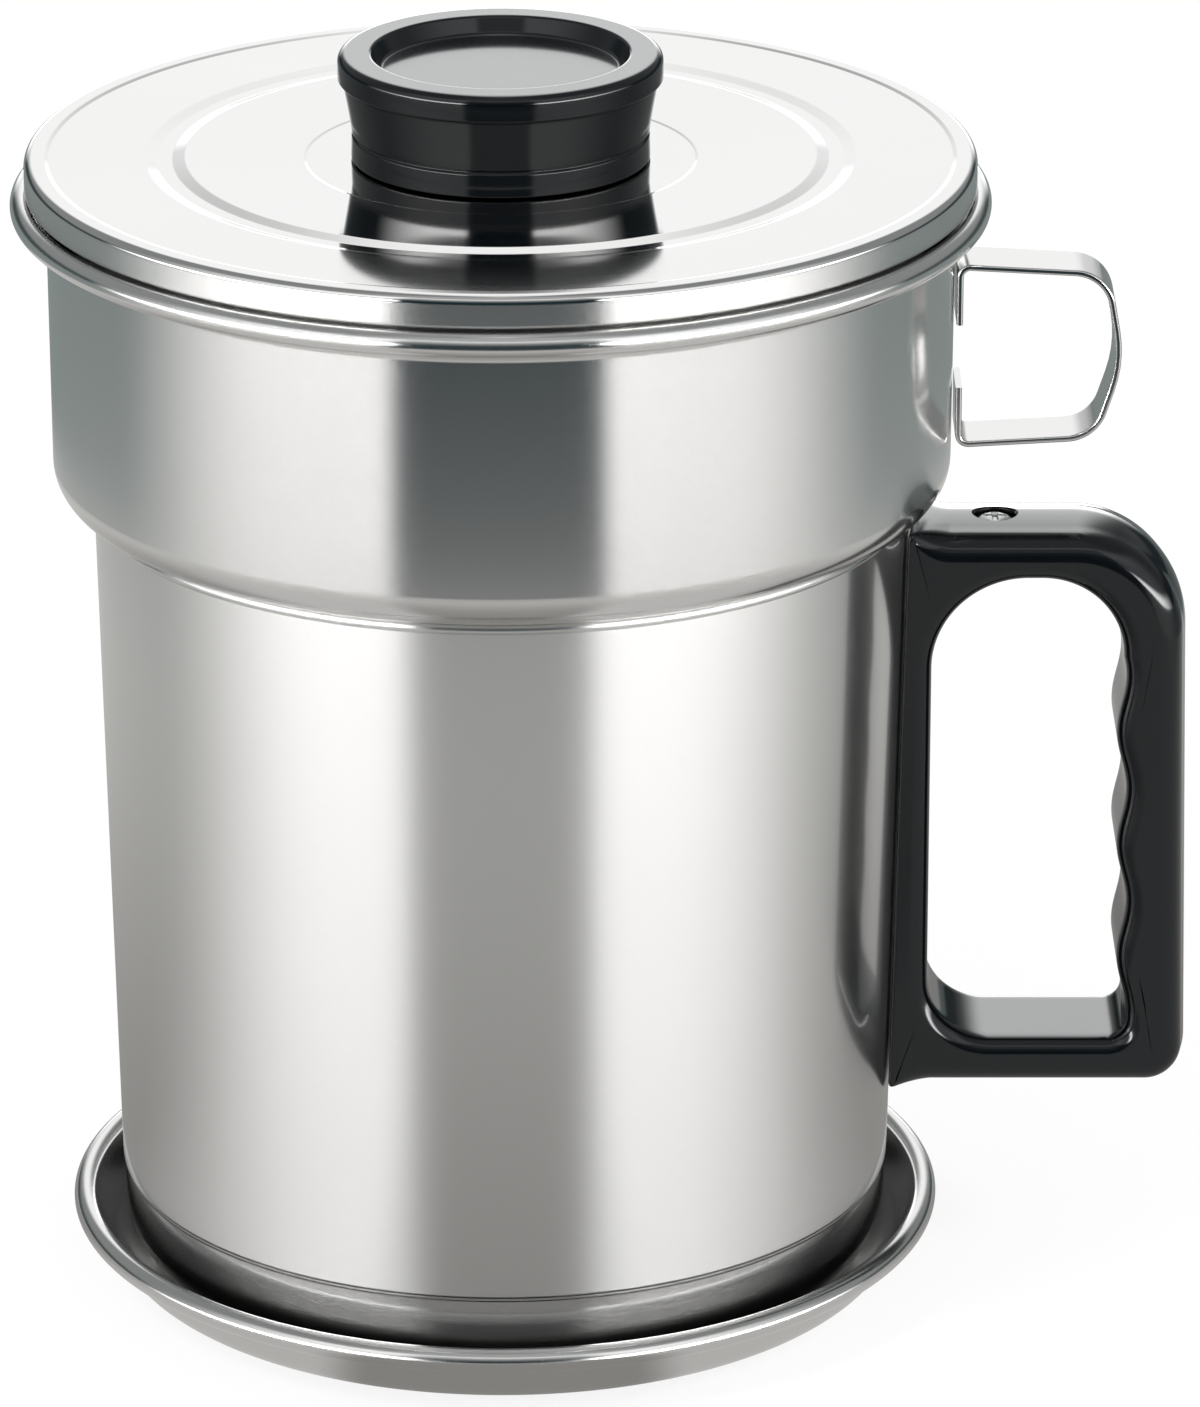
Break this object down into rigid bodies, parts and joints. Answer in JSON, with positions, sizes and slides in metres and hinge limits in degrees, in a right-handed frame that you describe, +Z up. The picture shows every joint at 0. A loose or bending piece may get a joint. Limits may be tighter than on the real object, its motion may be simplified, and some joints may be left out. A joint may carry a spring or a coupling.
{
  "type": "grease container",
  "caption": "Two-tier steel pot for cooking fat: drip tray, pot with a moulded D handle, lift-out strainer cup with a strap handle, and a lid with a knob.",
  "frame": {"origin": "centre of the drip tray's flat underside", "axes": "+Z up along the axis of the pot, +X from that axis towards the pot's handle, +Y completes a right-handed frame"},
  "size_m": [0.1846, 0.1516, 0.1997],
  "materials": {
    "brushed_steel": "satin, grained round the wall",
    "polished_steel": "mirror polished",
    "black_moulding": "glossy black moulding",
    "plated_steel": "bright plated",
    "brass": "turned"
  },
  "bodies": {
    "tray_tier": {"drip_tray": "polished_steel"},
    "pot_tier": {"pot_body": "brushed_steel", "pot_handle": "black_moulding", "handle_bracket_upper": "plated_steel", "handle_bracket_lower": "plated_steel", "handle_screw": "plated_steel"},
    "cup_tier": {"strainer_cup": "brushed_steel", "cup_strap_handle": "polished_steel", "strainer_net": "polished_steel", "net_ring": "polished_steel"},
    "lid_tier": {"lid_shell": "polished_steel", "lid_knob": "black_moulding", "knob_insert": "brass", "knob_flat_washer": "plated_steel", "knob_spring_washer": "plated_steel", "knob_screw": "plated_steel"}
  },
  "joints": [
    {"name": "pot_lift", "type": "slide", "parent": "tray_tier", "child": "pot_tier", "axis": [0, 0, 1], "range_m": [0, 0.03]},
    {"name": "cup_lift", "type": "slide", "parent": "pot_tier", "child": "cup_tier", "axis": [0, 0, 1], "range_m": [0, 0.04]},
    {"name": "lid_lift", "type": "slide", "parent": "cup_tier", "child": "lid_tier", "axis": [0, 0, 1], "range_m": [0, 0.05]}
  ]
}
